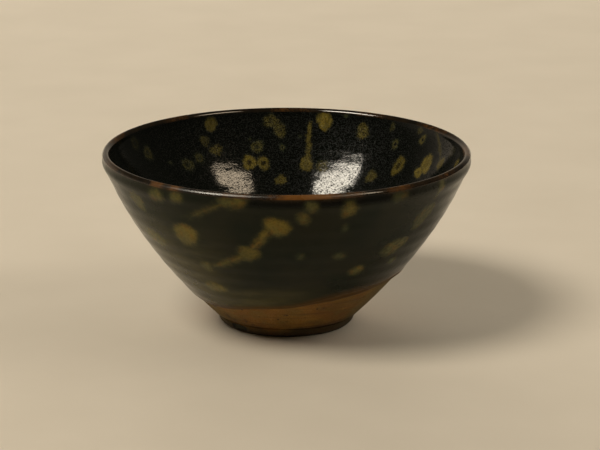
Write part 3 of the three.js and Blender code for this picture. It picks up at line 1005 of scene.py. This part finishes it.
# Painted shade: darker low on the foot
low = 1 - smooth(clay[..., 2] + 0.8 * rough(flat_points, 4, 14) - darker, 0.6, 4.2)
outer_bare = (body_radius > recess_radius) * bare
spots_and_shade = 0.84 * low * outer_bare
hidden_spots = np.random.default_rng(31).uniform((60, 4, 0.2), (300, 13, 0.5), (16, 3))
for turn, height, size in [*clay_spots, *hidden_spots]:
    across = counted_from(body_turns, math.radians(turn)) * body_radius
    gap = np.hypot(across, (clay[..., 2] - height) / 0.8) * (1 + 0.5 * rough(flat_points, 0.8, 15))
    spots_and_shade = np.maximum(spots_and_shade, 0.72 * near(gap, 0, 1.35 * size, 2) * outer_bare)

# It is more olive towards the sides and in patches, less so at the front
at_sides = near(np.abs(body_around), 66, 18)
patches = smooth(rough(flat_points, 9, 17), 0, 0.7)
olive = 0.75 * np.maximum(at_sides, patches) * np.where(np.abs(body_around) < 40, 0.4, 1)

body_marks = {"spots_and_shade": spots_and_shade, "chip": chip, "olive": olive}
body_skin = Skin()
for row in range(len(body_rows)):
    at_axis = row in (0, len(body_rows) - 1)
    gap = body_columns if at_axis else span(body_radius[row].mean(), (14, 8, 4, 2))
    body_skin.add_row(row, clay, clay_normals, body_marks, gap)
body_piece = body_skin.make("clay_body", clay_look())

outside_nodes = [f"outside_splash_{i:02}" for i in range(1, 23)]
inside_nodes = [f"inside_splash_{i:02}" for i in range(1, 22)]
pieces = [
    (body_piece, "bare_clay", ["stoneware_body"]),
    (outside_piece, "outside_glaze", ["outside_glaze", *outside_nodes]),
    (rim_piece, "rim_glaze", ["rim_glaze"]),
    (inside_piece, "inside_glaze", ["inside_glaze", *inside_nodes]),
]
for piece, slot, nodes in pieces:
    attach(piece, "root")
    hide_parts(*nodes)


def make_floor():
    mesh = bpy.data.meshes.new("floor")
    half = 3
    corners = [(-half, -half, 0), (half, -half, 0), (half, half, 0), (-half, half, 0)]
    mesh.from_pydata(corners, [], [(0, 1, 2, 3)])
    mesh.materials.append(floor_look())
    floor = bpy.data.objects.new("floor", mesh)
    bpy.context.scene.collection.objects.link(floor)


def make_light(name, azimuth, elevation, tilt, sizes, power, colour, glossy=True, diffuse=True):
    """A soft box turned to the bowl. Its azimuth counts from the front towards the right."""
    distance = 2
    light = bpy.data.lights.new(name, "AREA")
    light.shape = "ELLIPSE"
    light.size, light.size_y = sizes
    light.energy = power
    light.color = colour
    lamp = bpy.data.objects.new(name, light)
    turn, rise = math.radians(azimuth), math.radians(elevation)
    place = Vector((math.cos(rise) * math.sin(turn), -math.cos(rise) * math.cos(turn), math.sin(rise)))
    aim = Matrix.Rotation(turn, 4, "Z") @ Matrix.Rotation(math.pi / 2 - rise, 4, "X")
    aim = aim @ Matrix.Rotation(math.radians(tilt), 4, "Z")
    lamp.matrix_world = Matrix.Translation(distance * place + Vector((0, 0, bowl_height * MM / 2))) @ aim
    lamp.visible_glossy = glossy
    lamp.visible_diffuse = diffuse
    bpy.context.scene.collection.objects.link(lamp)


def make_world():
    """A dim room, paler low down behind the bowl and to the left."""
    world = bpy.data.worlds.new("studio")
    world.use_nodes = True
    nodes, links = world.node_tree.nodes, world.node_tree.links

    def share(way, low, high):
        """How far round a direction lies towards a way, from none at low to all at high."""
        along = nodes.new("ShaderNodeVectorMath")
        along.operation = "DOT_PRODUCT"
        along.inputs[1].default_value = way
        links.new(place, along.inputs[0])
        ramp = nodes.new("ShaderNodeMapRange")
        ramp.interpolation_type = "SMOOTHSTEP"
        ramp.inputs["From Min"].default_value = low
        ramp.inputs["From Max"].default_value = high
        links.new(along.outputs["Value"], ramp.inputs["Value"])
        return ramp.outputs[0]

    place = nodes.new("ShaderNodeTexCoord").outputs["Generated"]
    both = nodes.new("ShaderNodeMath")
    both.operation = "MULTIPLY"
    links.new(share((-0.6, 0.8, 0), 0.2, 0.8), both.inputs[0])
    links.new(share((0, 0, -1), -0.5, -0.15), both.inputs[1])
    colour = nodes.new("ShaderNodeMix")
    colour.data_type = "RGBA"
    links.new(both.outputs[0], colour.inputs[0])
    colour.inputs[6].default_value = srgb(62, 59, 51)
    colour.inputs[7].default_value = srgb(168, 155, 136)
    links.new(colour.outputs[2], nodes["Background"].inputs[0])
    bpy.context.scene.world = world


def make_camera():
    """The photograph's viewing angle. The shift puts the bowl where the photograph has it."""
    distance = 0.9
    elevation = math.radians(15.83)
    aim_height = 0.026
    camera = bpy.data.objects.new("camera", bpy.data.cameras.new("camera"))
    camera.location = (0, -distance * math.cos(elevation), aim_height + distance * math.sin(elevation))
    camera.rotation_euler = (math.radians(90) - elevation, 0, 0)
    camera.data.lens = 169.2
    camera.data.sensor_width = 36
    camera.data.shift_x = 0.0225
    camera.data.shift_y = 0.0245
    bpy.context.scene.collection.objects.link(camera)
    bpy.context.scene.camera = camera


make_floor()

# One lamp lights the bowl and two give its shine. Four more are the room's soft light, from the right and
# from behind: azimuth, elevation and watts.
room_lights = [
    ("right", 85, 40, 9.4), ("back_right", 130, 22, 5.2), ("back", 180, 22, 13.5), ("back_left", -150, 22, 9),
]
make_light("key", -58, 54, 0, (0.9, 0.8), 26.6, (1, 0.965, 0.88), glossy=False)
make_light("key_shine", -63, 57.3, 41, (0.95, 0.35), 22.5, (1, 0.91, 0.75), diffuse=False)
make_light("fill_shine", 66.2, 56.4, -38, (0.8, 0.26), 6.4, (1, 0.8, 0.56), diffuse=False)
for name, azimuth, elevation, power in room_lights:
    make_light(name, azimuth, elevation, 0, (1.6, 1), power, (1, 0.97, 0.9), glossy=False)
make_world()
make_camera()
bpy.context.scene.view_settings.view_transform = "Standard"
